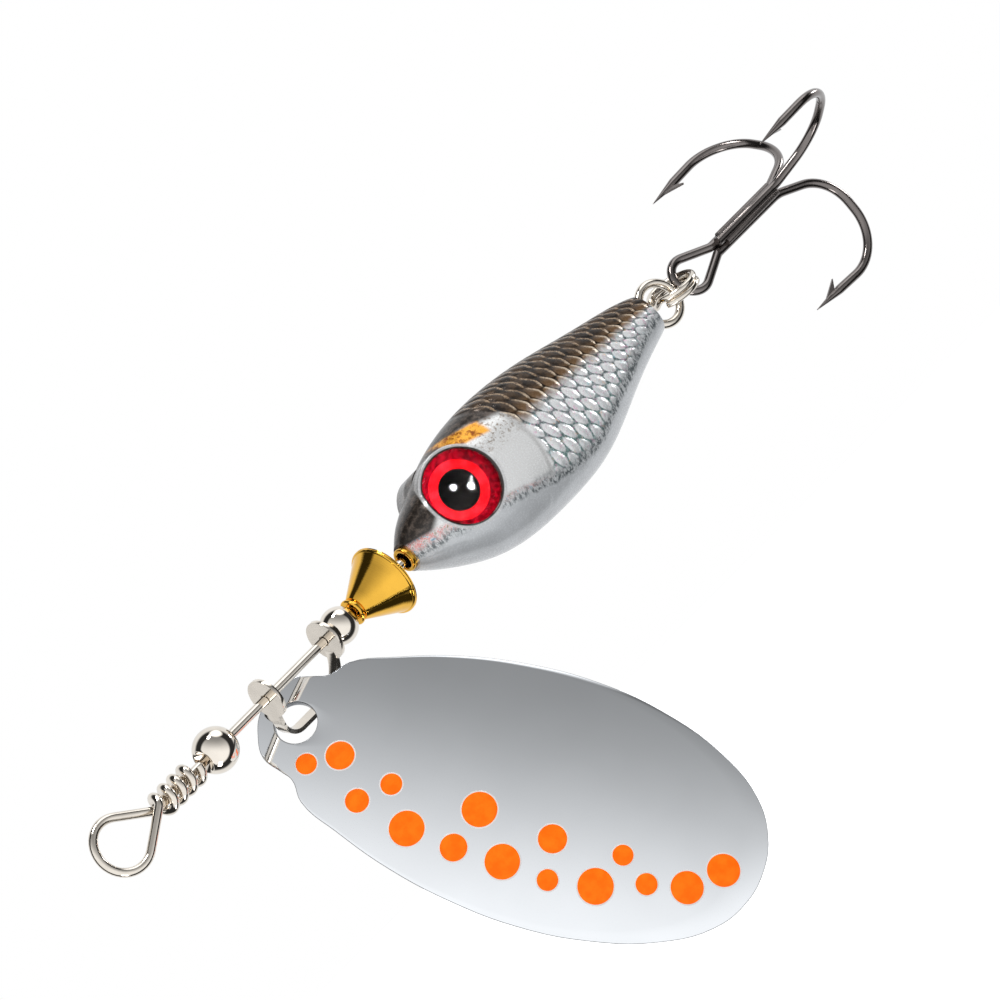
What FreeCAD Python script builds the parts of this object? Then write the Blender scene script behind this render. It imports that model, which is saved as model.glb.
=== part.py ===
import FreeCAD, Part
import math
import os

# Inline spinner: a formed wire shaft that carries a bead, a turning clevis with a
# dished blade, a bearing bead, a bell cap and a cast minnow body, with a split ring
# and a treble hook linked to the shaft's rear loop.
#
# Millimetres. +X points forward along the shaft, towards the line tie. +Y is the
# minnow's left flank and +Z its back. The origin is the centre of the line-tie loop.

V = FreeCAD.Vector
X_AXIS = V(1, 0, 0)
Y_AXIS = V(0, 1, 0)
Z_AXIS = V(0, 0, 1)

# ---- Shaft wire ----
wire_d = 0.85             # spring wire diameter
tie_r = 2.55              # line-tie loop, centre line
tie_neck = 4.7            # loop centre to the crossing of its limbs
tie_neck_bend = 0.9       # bend radius where the main limb joins the shaft
wrap_gap = 0.12           # air between the shaft and the turns wrapped on it
wrap_turns = 4.0
wrap_pitch = 1.3
wrap_ease = 0.35          # how fast the limb's slope settles to the pitch, radians
tail_loop_r = 2.05        # rear loop, centre line
tail_loop_neck = 2.85     # loop centre to the point where its limbs meet
tail_loop_back = 2.15     # rear loop centre behind the casting's tail face
tail_bend = 0.55          # bend radius at the rear loop's neck
tail_tag = 2.6            # loose end tucked into the casting's tail socket

# ---- Pieces threaded on the shaft, front to back ----
turn_gap = 0.09           # radial running clearance on the wire
seat_gap = 0.05           # end play between pieces that rest on each other
front_bead_d = 4.2
front_bead_gap = 0.35     # bare wire between the wraps and the front bead
front_bead_mouth = 2.3    # countersunk mouths of the front bead
front_bead_mouth_depth = 0.85
clevis_back = 11.5        # clevis middle behind the front bead's centre
rear_bead_d = 3.5
rear_bead_mouth = 1.5
rear_bead_mouth_depth = 0.35
cap_small_d = 2.4         # bell cap: plain cone's small end
cap_large_d = 7.0
cap_len = 4.9
cap_wall = 0.3
cap_lip_d = 2.6           # rolled lip at the small end
cap_lip_len = 0.35
cap_groove_d = 2.0
cap_groove_len = 0.3
cap_mouth_bead = 0.18     # rolled edge at the large end, radius
nose_back = 2.75          # cap's mouth to the tip of the nose tube

# ---- Clevis: one folded strip with a round ear at each end ----
ear_d = 3.95
ear_span = 8.4            # between the ears' mid planes
strip_w = 1.15
strip_t = 0.4
clevis_depth = 4.5        # shaft axis to the strip's mid plane at the bend
clevis_front_r = 1.8      # bend radius below the front ear
clevis_rear_r = 3.4       # and below the rear ear, where the strip leans forward
clevis_lean = 0.8         # bend's middle ahead of the ears' middle
clevis_roll = -33.0       # degrees about +X from hanging straight down

# ---- Blade ----
blade_t = 0.8
dish_long_r = 95.0        # dish radius along the blade
dish_wide_r = 42.0        # dish radius across the blade
dish_centre = 22.5        # lowest point of the dish behind the hole
hole_d = 3.8
# Half outline: distance behind the hole's centre, half width.
blade_half = [(-2.85, 1.95), (-1.75, 3.75), (0.1, 4.5), (1.3, 4.95), (2.7, 6.6), (6.5, 8.25),
              (12.0, 10.05), (18.0, 11.15), (24.0, 11.45), (30.0, 10.75), (36.0, 8.85),
              (40.2, 6.1), (42.1, 3.2)]
blade_tip = 42.7
blade_heel = -3.3
hang_axis = V(-0.334, 0.317, -0.888)     # heel to tip, at rest
hang_normal = V(0.363, 0.912, 0.189)     # out of the convex face, at rest
hole_from_bend = V(-0.905, -1.453, 1.45)  # hole's centre from the bend's middle, blade axes

# ---- Minnow body ----
body_len = 36.2           # nose face to tail face
# Section: share of the length behind the nose, height above the axis, depth below,
# half thickness.
body_sections = [(0.0, 1.42, 1.42, 1.42), (0.028, 2.15, 2.15, 2.0), (0.069, 2.95, 3.1, 3.0),
                 (0.138, 3.95, 4.55, 3.95), (0.22, 5.05, 5.85, 4.5), (0.33, 5.85, 6.6, 4.65),
                 (0.44, 6.0, 6.75, 4.5), (0.55, 5.7, 6.6, 4.15), (0.66, 5.05, 5.9, 3.65),
                 (0.77, 4.2, 4.6, 3.05), (0.88, 3.4, 3.25, 2.5), (1.0, 2.25, 2.05, 1.95)]
section_power = 2.3       # 2 is an ellipse, more is squarer
nose_tube_out = 0.5       # tube's rim in front of the casting's nose
nose_tube_od = 2.35
nose_tube_id = 1.6
tube_lip = 0.12
tail_socket_gap = 0.12    # air round the shaft and its tucked end
tail_socket_len = 3.4

# ---- Eyes ----
eye_share = 0.199         # eye centre behind the nose, share of the body's length
eye_up = 0.95
eye_out = 3.2             # socket rim's face from the middle plane, at the eye's centre
eye_turn = 15.0           # degrees the eye faces towards the nose
socket_d = 7.15
rim_w = 0.42
rim_round = 0.19          # rounding of the rim's outer edge
boss_hidden = 0.5         # the rim's boss starts this far from the middle plane
socket_depth = 0.75
film_t = 0.15
lens_rise = 0.6
eye_fit = 0.04            # radial clearance of film and lens in the socket

# ---- Split ring ----
ring_od = 5.2
ring_wire = 0.6
ring_gap = 0.03           # air between the two coils
ring_jog = 34.0           # degrees taken by the step from coil to coil
ring_end_gap = 8.0        # degrees between each end and the step
ring_tilt = -20.0         # degrees about +X
ring_slack = 2.1          # ring centre behind the rear loop's centre

# ---- Treble hook ----
hook_wire = 0.88
shank_offset = 0.56       # each shank's centre line from the hook's axis
hook_eye_r = 1.78         # eye, centre line
link_gap = 0.2            # air between the rear loop's far side and the hook's eye
hook_neck = 3.75          # eye centre to the point where the shanks close up
hook_len = 18.9           # eye centre to the bends' far side
bend_start = 5.7          # shanks begin to part this far ahead of the bends' far side
gape = 10.8               # tip of the point from the hook's axis
gape_side = 11.3          # the same at the bottom of the point's side
bend_rise = 2.7           # end of the sloping run from the shank to the bend, from the axis
point_back = 10.6         # bends' far side to the tip of the point
shank_bend_r = 4.0
low_bend_r = 4.6
high_bend_r = 4.4
point_taper = 3.4
tip_d = 0.06
barb_back = 3.5           # barb's tip behind the point
barb_rise = 0.75
barb_len = 2.3
barb_half_t = 0.11
barb_sink = 0.02          # barb's foot below the wire's middle
neck_bend = 1.2           # bend radius where the shanks part into the eye
single_shank_back = 0.4   # third shank ends this far behind the neck
hook_angles = (140.0, -100.0, 20.0)      # about +X, from +Y towards +Z; the third is brazed on
eye_plane = 100.0         # direction across the eye, about +X
braze_start = 1.2         # braze runs from this far behind the neck
braze_stop = 0.3          # and stops this far before the shanks part
braze_r = 0.42
braze_groove_d = 0.66
braze_groove_share = 1.06

# ---- Stations worked out from the above ----
wrap_r = wire_d + wrap_gap
neck_x = -tie_neck
tail_socket_d = 2 * (wrap_r + wire_d / 2 + tail_socket_gap)
eye_back = eye_share * body_len
ring_back = tail_loop_back + ring_slack
hook_eye_back = tail_loop_back + tail_loop_r + wire_d / 2 + link_gap + hook_wire / 2


# ---------------------------------------------------------------- helpers

def turned(direction, axis, degrees):
    """The direction turned about an axis through the origin."""
    return FreeCAD.Rotation(axis, degrees).multVec(direction)


def fillet_radius(before, corner, after, setback):
    """Radius of the arc that leaves a corner's two sides at this distance from it."""
    turn = (corner - before).getAngle(after - corner)
    return setback / math.tan(turn / 2)


def rounded_path(points, radii):
    """Straight runs joined by tangent arcs. One radius for each inner point."""
    edges = []
    start = points[0]
    for i, radius in enumerate(radii, start=1):
        before = (points[i] - points[i - 1]).normalize()
        after = (points[i + 1] - points[i]).normalize()
        turn = before.getAngle(after)
        setback = radius * math.tan(turn / 2)
        arc_in = points[i] - before * setback
        arc_out = points[i] + after * setback
        inward = (after - before).normalize()
        to_centre = radius / math.cos(turn / 2)
        middle = points[i] + inward * (to_centre - radius)
        if (arc_in - start).Length > 1e-4:
            edges.append(Part.LineSegment(start, arc_in).toShape())
        else:
            arc_in = start
        edges.append(Part.Arc(arc_in, middle, arc_out).toShape())
        start = arc_out
    if (points[-1] - start).Length > 1e-4:
        edges.append(Part.LineSegment(start, points[-1]).toShape())
    return edges


def smooth_edge(points, start_tangent):
    """One smooth curve through the points, leaving the first in the given direction."""
    distance = [0.0]
    for before, after in zip(points, points[1:]):
        distance.append(distance[-1] + (after - before).Length)
    tangents = [start_tangent] + [V()] * (len(points) - 1)
    flags = [True] + [False] * (len(points) - 1)
    curve = Part.BSplineCurve()
    curve.interpolate(Points=points, Parameters=distance, Tangents=tangents,
                      TangentFlags=flags)
    return curve.toShape()


def tube_along(edges, start, direction, diameter):
    """A round wire along a path that starts at a point in a direction."""
    path = Part.Wire(edges)
    section = Part.Wire([Part.makeCircle(diameter / 2, start, direction)])
    return path.makePipeShell([section], True, False)


def revolved(profile, origin, axis=X_AXIS):
    """A closed outline of (along, radius) pairs turned about an axis through the origin."""
    across = Z_AXIS if abs(axis.dot(Z_AXIS)) < 0.9 else Y_AXIS
    points = [origin + axis * along + across * radius for along, radius in profile]
    outline = Part.makePolygon(points + points[:1])
    return Part.Face(outline).revolve(origin, axis, 360)


def rod(start, end, diameter):
    return Part.makeCylinder(diameter / 2, (end - start).Length, start, end - start)


def teardrop(neck_to_centre, radius, neck_offset=0.0):
    """Slope of a loop's limbs, and how far out its far corners stand."""
    distance = math.hypot(neck_to_centre, neck_offset)
    slope = math.asin(radius / distance) - math.atan2(neck_offset, neck_to_centre)
    corner = neck_offset + (neck_to_centre + radius) * math.tan(slope)
    return slope, corner


# ---------------------------------------------------------------- shaft wire

def wrap_shift(angle):
    """Distance travelled back along the shaft after turning this far round it."""
    slope, _ = teardrop(tie_neck, tie_r)
    steep = wrap_r / math.tan(slope)
    steady = wrap_pitch / (2 * math.pi)
    return steady * angle + (steep - steady) * wrap_ease * (1 - math.exp(-angle / wrap_ease))


wraps_end_x = neck_x - wrap_shift(2 * math.pi * wrap_turns) - wire_d / 2
front_bead_x = wraps_end_x - front_bead_gap - front_bead_d / 2
clevis_x = front_bead_x - clevis_back
rear_bead_x = clevis_x - ear_span / 2 - strip_t / 2 - seat_gap - rear_bead_d / 2
cap_x = rear_bead_x - rear_bead_d / 2 - seat_gap
nose_x = cap_x - cap_len - nose_back - nose_tube_out
tail_x = nose_x - body_len
tail_loop_x = tail_x - tail_loop_back


def shaft_wire():
    """Wrapped end, line-tie loop, straight shaft, rear loop and tucked end in one wire."""
    slope, corner = teardrop(tie_neck, tie_r)
    far = tie_r
    neck = V(neck_x, 0, 0)
    upper = V(far, 0, corner)
    lower = V(far, 0, -corner)
    crossing = V(neck_x, wrap_r, 0)

    steps_per_turn = 12
    wrap_points = []
    for i in range(int(wrap_turns * steps_per_turn) + 1):
        angle = 2 * math.pi * i / steps_per_turn
        wrap_points.append(V(neck_x - wrap_shift(angle),
                             wrap_r * math.cos(angle), wrap_r * math.sin(angle)))
    limb = (crossing - lower).normalize()
    last_angle = 2 * math.pi * wrap_turns
    run_out = V(-wrap_pitch / (2 * math.pi), -wrap_r * math.sin(last_angle),
                wrap_r * math.cos(last_angle)).normalize()
    wraps = smooth_edge(wrap_points, limb)

    tail_slope, tail_corner = teardrop(tail_loop_neck, tail_loop_r)
    tail_far = tail_loop_x - tail_loop_r
    tail_neck = V(tail_loop_x + tail_loop_neck, 0, 0)
    tag_z = -wrap_r
    tag_turn = V(tail_neck.x + tag_z / math.tan(tail_slope), 0, tag_z)
    points = [crossing, lower, upper, neck, tail_neck, V(tail_far, 0, tail_corner),
              V(tail_far, 0, -tail_corner), tag_turn, V(tail_x + tail_tag, 0, tag_z)]
    lower_r = fillet_radius(crossing, lower, upper, corner)
    radii = [lower_r, tie_r, tie_neck_bend, tail_bend, tail_loop_r, tail_loop_r, tail_bend]
    route = rounded_path(points, radii)
    return tube_along([wraps] + route, wrap_points[-1], run_out, wire_d)


# ---------------------------------------------------------------- beads and cap

def bead(x, diameter, mouth, mouth_depth):
    """A ball with a running hole and a countersunk mouth at each end."""
    hole_r = wire_d / 2 + turn_gap
    face = math.sqrt((diameter / 2) ** 2 - (mouth / 2) ** 2)
    mouths = [V(x + side * face, 0, mouth / 2) for side in (1, -1)]
    floors = [V(x + side * (face - mouth_depth), 0, hole_r) for side in (-1, 1)]
    outside = Part.Arc(mouths[0], V(x, 0, diameter / 2), mouths[1]).toShape()
    inside = Part.makePolygon([mouths[1]] + floors + [mouths[0]])
    return Part.Face(Part.Wire([outside] + inside.Edges)).revolve(V(x, 0, 0), X_AXIS, 360)


def bell_cap():
    """Spun cone, open towards the body, with a rolled lip round the shaft."""
    hole_r = wire_d / 2 + turn_gap
    start = cap_lip_len + cap_groove_len
    slope = (cap_large_d - cap_small_d) / 2 / (cap_len - start)
    wall_in = cap_wall * math.sqrt(1 + slope ** 2)
    floor = start + cap_wall
    floor_r = cap_small_d / 2 + slope * (floor - start) - wall_in
    profile = [(0, hole_r), (0, cap_lip_d / 2 - 0.1), (-0.1, cap_lip_d / 2),
               (-cap_lip_len + 0.08, cap_lip_d / 2), (-cap_lip_len, cap_groove_d / 2),
               (-start, cap_groove_d / 2), (-start, cap_small_d / 2),
               (-cap_len, cap_large_d / 2), (-cap_len, cap_large_d / 2 - wall_in),
               (-floor, floor_r), (-floor, hole_r)]
    shell = revolved(profile, V(cap_x, 0, 0))
    rolled = Part.makeTorus(cap_large_d / 2 - cap_mouth_bead, cap_mouth_bead,
                            V(cap_x - cap_len + cap_mouth_bead, 0, 0), X_AXIS)
    return shell.fuse(rolled).removeSplitter()


# ---------------------------------------------------------------- clevis

clevis_down = turned(V(0, 0, -1), X_AXIS, clevis_roll)
clevis_side = X_AXIS.cross(clevis_down)


def clevis():
    """Flat strip folded to a U, with a holed disc at each end for the shaft."""
    half = ear_span / 2
    centre = V(clevis_x, 0, 0)
    corners = [centre + X_AXIS * half, centre + X_AXIS * half + clevis_down * clevis_depth,
               centre - X_AXIS * half + clevis_down * clevis_depth, centre - X_AXIS * half]
    path = Part.Wire(rounded_path(corners, [clevis_front_r, clevis_rear_r]))
    t = strip_t / 2
    w = strip_w / 2
    section = [corners[0] + X_AXIS * a * t + clevis_side * b * w
               for a, b in ((1, 1), (1, -1), (-1, -1), (-1, 1))]
    outline = Part.makePolygon(section + section[:1])
    strip = path.makePipeShell([outline], True, False)
    solid = strip
    for side in (half, -half):
        face = centre + X_AXIS * (side - t)
        solid = solid.fuse(Part.makeCylinder(ear_d / 2, strip_t, face, X_AXIS))
    hole_r = wire_d / 2 + turn_gap
    hole = rod(centre + X_AXIS * ear_span, centre - X_AXIS * ear_span, 2 * hole_r)
    return solid.cut(hole).removeSplitter()


# ---------------------------------------------------------------- blade

def blade_outline():
    """Closed outline in the blade's own plane, heel at -X and tip at +X."""
    upper = [V(along, half, 0) for along, half in blade_half]
    lower = [V(along, -half, 0) for along, half in reversed(blade_half)]
    points = [V(blade_heel, 0, 0)] + upper + [V(blade_tip, 0, 0)] + lower
    curve = Part.BSplineCurve()
    curve.interpolate(Points=points, PeriodicFlag=True)
    return Part.Wire([curve.toShape()])


def dished_sheet(inner_r, outer_r, length):
    """Sheet curved both ways, its convex top touching Z = 0 at the dish's middle."""
    centre_z = -dish_wide_r
    middle = dish_centre
    arcs = []
    for radius in (outer_r, inner_r):
        top = centre_z + dish_wide_r - (dish_long_r - radius)
        sag = radius - math.sqrt(radius ** 2 - (length / 2) ** 2)
        ends = (V(middle - length / 2, 0, top - sag), V(middle + length / 2, 0, top - sag))
        arcs.append(Part.Arc(ends[0], V(middle, 0, top), ends[1]).toShape())
    sides = [Part.LineSegment(arcs[0].Vertexes[i].Point, arcs[1].Vertexes[i].Point).toShape()
             for i in (0, 1)]
    face = Part.Face(Part.Wire(Part.__sortEdges__(arcs + sides)))
    axis_at = V(middle, 0, centre_z)
    return face.revolve(axis_at, X_AXIS, 50).fuse(face.revolve(axis_at, X_AXIS, -50))


def blade_flat():
    """The blade lying convex side up, hole's centre over the origin."""
    sheet = dished_sheet(dish_long_r - blade_t, dish_long_r, 60.0)
    prism = Part.Face(blade_outline()).extrude(V(0, 0, 20)).translated(V(0, 0, -15))
    solid = sheet.common(prism).removeSplitter()
    hole = Part.makeCylinder(hole_d / 2, 20, V(0, 0, -12))
    return solid.cut(hole)


def blade_surface_z(along, across):
    """Height of the convex face over a point of the blade's plane."""
    offset = along - dish_centre
    ring = dish_wide_r - (dish_long_r - math.sqrt(dish_long_r ** 2 - offset ** 2))
    return math.sqrt(ring ** 2 - across ** 2) - dish_wide_r


def blade_placement():
    """Puts the flat blade where it hangs, the hole round the clevis bend."""
    along = V(hang_axis).normalize()
    normal = hang_normal - along * hang_normal.dot(along)
    normal.normalize()
    rotation = FreeCAD.Rotation(along, V(), normal, "XZY")
    bend = V(clevis_x + clevis_lean, 0, 0) + clevis_down * clevis_depth
    hole_at = V(0, 0, blade_surface_z(0, 0) - blade_t / 2)
    base = bend + rotation.multVec(hole_from_bend - hole_at)
    return FreeCAD.Placement(base, rotation)


def blade():
    solid = blade_flat()
    solid.Placement = blade_placement()
    return solid


# ---------------------------------------------------------------- body, tube and eyes

def body_section(share, above, below, half):
    """Closed smooth section across the body, fuller than an ellipse."""
    steps = 16
    points = []
    for i in range(steps):
        angle = 2 * math.pi * (i + 0.5) / steps
        c = math.cos(angle)
        s = math.sin(angle)
        y = half * math.copysign(abs(c) ** (2 / section_power), c)
        z = (above if s > 0 else below) * math.copysign(abs(s) ** (2 / section_power), s)
        points.append(V(nose_x - share * body_len, y, z))
    curve = Part.BSplineCurve()
    curve.interpolate(Points=points, PeriodicFlag=True)
    return Part.Wire([curve.toShape()])


def eye_frame(side):
    """Centre of the socket rim's face, and the direction the eye looks."""
    centre = V(nose_x - eye_back, side * eye_out, eye_up)
    look = V(math.sin(math.radians(eye_turn)), side * math.cos(math.radians(eye_turn)), 0)
    return centre, look


def body_casting():
    """Solid minnow with a bored axis, a tail socket and two rimmed eye sockets."""
    solid = Part.makeLoft([body_section(*row) for row in body_sections], True, False)
    rim_r = socket_d / 2 + rim_w
    for side in (1, -1):
        centre, look = eye_frame(side)
        boss_len = eye_out - boss_hidden
        boss = Part.makeCylinder(rim_r, boss_len, centre - look * boss_len, look)
        edge = [e for e in boss.Edges if (e.CenterOfMass - centre).Length < 0.01]
        boss = boss.makeFillet(rim_round, edge)
        solid = solid.fuse(boss)
    for side in (1, -1):
        centre, look = eye_frame(side)
        solid = solid.cut(Part.makeCylinder(socket_d / 2, socket_depth + 2,
                                            centre - look * socket_depth, look))
    solid = solid.cut(rod(V(nose_x + 1, 0, 0), V(tail_x - 1, 0, 0), nose_tube_od))
    return solid.cut(rod(V(tail_x + tail_socket_len, 0, 0), V(tail_x - 1, 0, 0), tail_socket_d))


def bore_tube():
    """Brass tube pressed into the casting, its rim proud of the nose."""
    front = V(nose_x + nose_tube_out, 0, 0)
    back = V(tail_x + tail_socket_len, 0, 0)
    tube = rod(front, back, nose_tube_od).cut(rod(front, back, nose_tube_id))
    rim = [e for e in tube.Edges if abs(e.CenterOfMass.x - front.x) < 1e-3]
    return tube.makeFillet(tube_lip, rim)


def eye_film(side):
    """Printed disc on the socket's floor."""
    centre, look = eye_frame(side)
    return Part.makeCylinder(socket_d / 2 - eye_fit, film_t, centre - look * socket_depth, look)


def eye_lens(side):
    """Clear domed lens over the film, filling the socket."""
    centre, look = eye_frame(side)
    radius = socket_d / 2 - eye_fit
    wall = socket_depth - film_t
    base = centre - look * wall
    ball_r = (radius ** 2 + lens_rise ** 2) / (2 * lens_rise)
    ball = Part.makeSphere(ball_r, centre - look * (ball_r - lens_rise))
    column = Part.makeCylinder(radius, wall + lens_rise + 1, base, look)
    return ball.common(column)


# ---------------------------------------------------------------- split ring

def split_ring():
    """Two flat turns of wire with one step between them."""
    radius = (ring_od - ring_wire) / 2
    rise = ring_wire + ring_gap
    centre = V(tail_x - ring_back, 0, 0)
    first = ring_jog / 2 + ring_end_gap
    last = 720 - first
    steps = 44
    points = []
    for i in range(steps + 1):
        degrees = first + (last - first) * i / steps
        part = min(max((degrees - 360 + ring_jog / 2) / ring_jog, 0), 1)
        height = rise * (part * part * (3 - 2 * part) - 0.5)
        angle = math.radians(degrees)
        points.append(V(radius * math.cos(angle), radius * math.sin(angle), height))
    start = V(-math.sin(math.radians(first)), math.cos(math.radians(first)), 0)
    ring = tube_along([smooth_edge(points, start)], points[0], start, ring_wire)
    ring.Placement = FreeCAD.Placement(centre, FreeCAD.Rotation(X_AXIS, ring_tilt))
    return ring


# ---------------------------------------------------------------- treble hook

hook_eye_x = tail_x - hook_eye_back - hook_eye_r
bend_far_x = hook_eye_x - hook_len
hook_neck_x = hook_eye_x - hook_neck


def radial(degrees):
    """Unit direction across the shaft, measured from +Y towards +Z."""
    angle = math.radians(degrees)
    return V(0, math.cos(angle), math.sin(angle))


def hook_run(degrees):
    """Corner points of one hook from its shank to the start of the point."""
    out = radial(degrees)
    return [V(bend_far_x + bend_start, 0, 0) + out * shank_offset,
            V(bend_far_x, 0, 0) + out * bend_rise,
            V(bend_far_x, 0, 0) + out * gape_side]


def hook_point(degrees):
    """Tapered point and its barb, for one hook."""
    out = radial(degrees)
    tip = V(bend_far_x + point_back, 0, 0) + out * gape
    corner = V(bend_far_x, 0, 0) + out * gape_side
    aim = (tip - corner).normalize()
    root = tip - aim * point_taper
    point = Part.makeCone(hook_wire / 2, tip_d / 2, point_taper, root, aim)
    inward = (V(0, 0, 0) - out)
    inward = (inward - aim * inward.dot(aim)).normalize()
    barb_tip = tip - aim * barb_back + inward * (hook_wire / 2 + barb_rise)
    heel = tip - aim * (barb_back - barb_len) - inward * barb_sink
    throat = tip - aim * (barb_back - barb_len * 0.35) - inward * barb_sink
    across = aim.cross(inward) * barb_half_t
    flat = Part.Face(Part.makePolygon([barb_tip, heel, throat, barb_tip]))
    barb = flat.translated(across * -1).extrude(across * 2)
    return point.fuse(barb)


def straight_start(degrees):
    """Where the wire stops and the taper begins, and its direction."""
    out = radial(degrees)
    tip = V(bend_far_x + point_back, 0, 0) + out * gape
    corner = V(bend_far_x, 0, 0) + out * gape_side
    aim = (tip - corner).normalize()
    return tip - aim * point_taper, aim


def double_hook():
    """One wire: first hook, shank, eye, shank, second hook."""
    first, second = hook_angles[:2]
    out = radial(eye_plane)
    plane_at = radial(first) + radial(second)
    plane_at = plane_at * (shank_offset / 2)
    half_gap = abs(radial(first).dot(out)) * shank_offset
    _, corner = teardrop(hook_neck, hook_eye_r, half_gap)
    near_x = hook_eye_x + hook_eye_r
    neck = V(hook_neck_x, 0, 0)
    eye_points = [neck + plane_at + out * half_gap,
                  V(near_x, 0, 0) + plane_at + out * corner,
                  V(near_x, 0, 0) + plane_at - out * corner,
                  neck + plane_at - out * half_gap]
    start, start_aim = straight_start(first)
    end, _ = straight_start(second)
    points = [start] + list(reversed(hook_run(first))) + eye_points + hook_run(second) + [end]
    bends = [high_bend_r, low_bend_r, shank_bend_r]
    radii = bends + [neck_bend, hook_eye_r, hook_eye_r, neck_bend] + list(reversed(bends))
    wire = tube_along(rounded_path(points, radii), start, start_aim * -1, hook_wire)
    return wire.fuse([hook_point(first), hook_point(second)])


def single_hook():
    """The third hook, its plain shank laid between the other two."""
    degrees = hook_angles[2]
    start, aim = straight_start(degrees)
    shank_end = V(hook_neck_x - single_shank_back, 0, 0) + radial(degrees) * shank_offset
    points = [start] + list(reversed(hook_run(degrees))) + [shank_end]
    radii = [high_bend_r, low_bend_r, shank_bend_r]
    wire = tube_along(rounded_path(points, radii), start, aim * -1, hook_wire)
    return wire.fuse(hook_point(degrees))


def braze_fillet(wires):
    """Braze metal that fills the middle and the grooves between the three shanks."""
    front = V(hook_neck_x - braze_start, 0, 0)
    back = V(bend_far_x + bend_start + braze_stop, 0, 0)
    core = rod(front, back, 2 * braze_r)
    for degrees in hook_angles:
        groove = radial(degrees + 60) * (shank_offset * braze_groove_share)
        core = core.fuse(rod(front + groove, back + groove, braze_groove_d))
    for wire in wires:
        core = core.cut(wire)
    return core


# ---------------------------------------------------------------- export

def build_all():
    doubled = double_hook()
    single = single_hook()
    return {
        "shaft_wire": shaft_wire(),
        "front_bead": bead(front_bead_x, front_bead_d, front_bead_mouth,
                           front_bead_mouth_depth),
        "clevis": clevis(),
        "spinner_blade": blade(),
        "bearing_bead": bead(rear_bead_x, rear_bead_d, rear_bead_mouth,
                             rear_bead_mouth_depth),
        "bell_cap": bell_cap(),
        "body_casting": body_casting(),
        "bore_tube": bore_tube(),
        "left_eye_film": eye_film(1),
        "right_eye_film": eye_film(-1),
        "left_eye_lens": eye_lens(1),
        "right_eye_lens": eye_lens(-1),
        "split_ring": split_ring(),
        "treble_double_hook": doubled,
        "treble_single_hook": single,
        "treble_braze": braze_fillet([doubled, single]),
    }


os.makedirs("parts", exist_ok=True)
for name, solid in build_all().items():
    solid.exportStep("parts/" + name + ".step")
    print(name, "valid", solid.isValid(), "solids", len(solid.Solids),
          "volume", round(solid.Volume, 3))
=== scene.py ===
import math

import bmesh
import bpy
from mathutils import Matrix, Vector


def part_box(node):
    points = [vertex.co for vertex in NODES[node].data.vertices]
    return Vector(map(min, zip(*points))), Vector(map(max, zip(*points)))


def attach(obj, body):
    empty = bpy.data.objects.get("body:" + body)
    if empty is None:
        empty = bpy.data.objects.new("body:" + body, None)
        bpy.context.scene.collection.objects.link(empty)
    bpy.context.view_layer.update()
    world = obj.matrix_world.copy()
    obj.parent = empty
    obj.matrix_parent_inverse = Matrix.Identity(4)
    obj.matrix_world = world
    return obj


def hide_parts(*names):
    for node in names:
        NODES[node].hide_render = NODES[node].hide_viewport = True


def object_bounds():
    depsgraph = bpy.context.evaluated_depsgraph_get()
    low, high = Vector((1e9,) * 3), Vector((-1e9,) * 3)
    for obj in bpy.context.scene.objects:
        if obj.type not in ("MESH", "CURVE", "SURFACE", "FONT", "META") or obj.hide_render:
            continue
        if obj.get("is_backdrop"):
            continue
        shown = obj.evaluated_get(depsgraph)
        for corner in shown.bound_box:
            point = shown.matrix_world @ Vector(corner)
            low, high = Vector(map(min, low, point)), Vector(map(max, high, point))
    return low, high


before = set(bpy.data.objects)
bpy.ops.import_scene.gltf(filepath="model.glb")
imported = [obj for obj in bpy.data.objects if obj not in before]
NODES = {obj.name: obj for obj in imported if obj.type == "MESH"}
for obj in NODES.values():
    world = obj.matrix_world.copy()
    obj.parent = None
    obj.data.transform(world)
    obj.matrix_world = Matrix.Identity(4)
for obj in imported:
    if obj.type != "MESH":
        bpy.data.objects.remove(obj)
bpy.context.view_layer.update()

bl_info = {
    "name": "Inline Spinner Looks",
    "version": (1, 0, 0),
    "blender": (4, 5, 0),
    "location": "3D View > Sidebar > Spinner",
    "description": "Plating, paint, eyes and enamel spots of an inline spinner, with a studio",
    "category": "Object",
}

MM = 0.001

# Where the minnow's nose is, from its own box, in millimetres.
NOSE_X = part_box("body_casting")[1].x / MM


# ------------------------------------------------------------ material graphs

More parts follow.
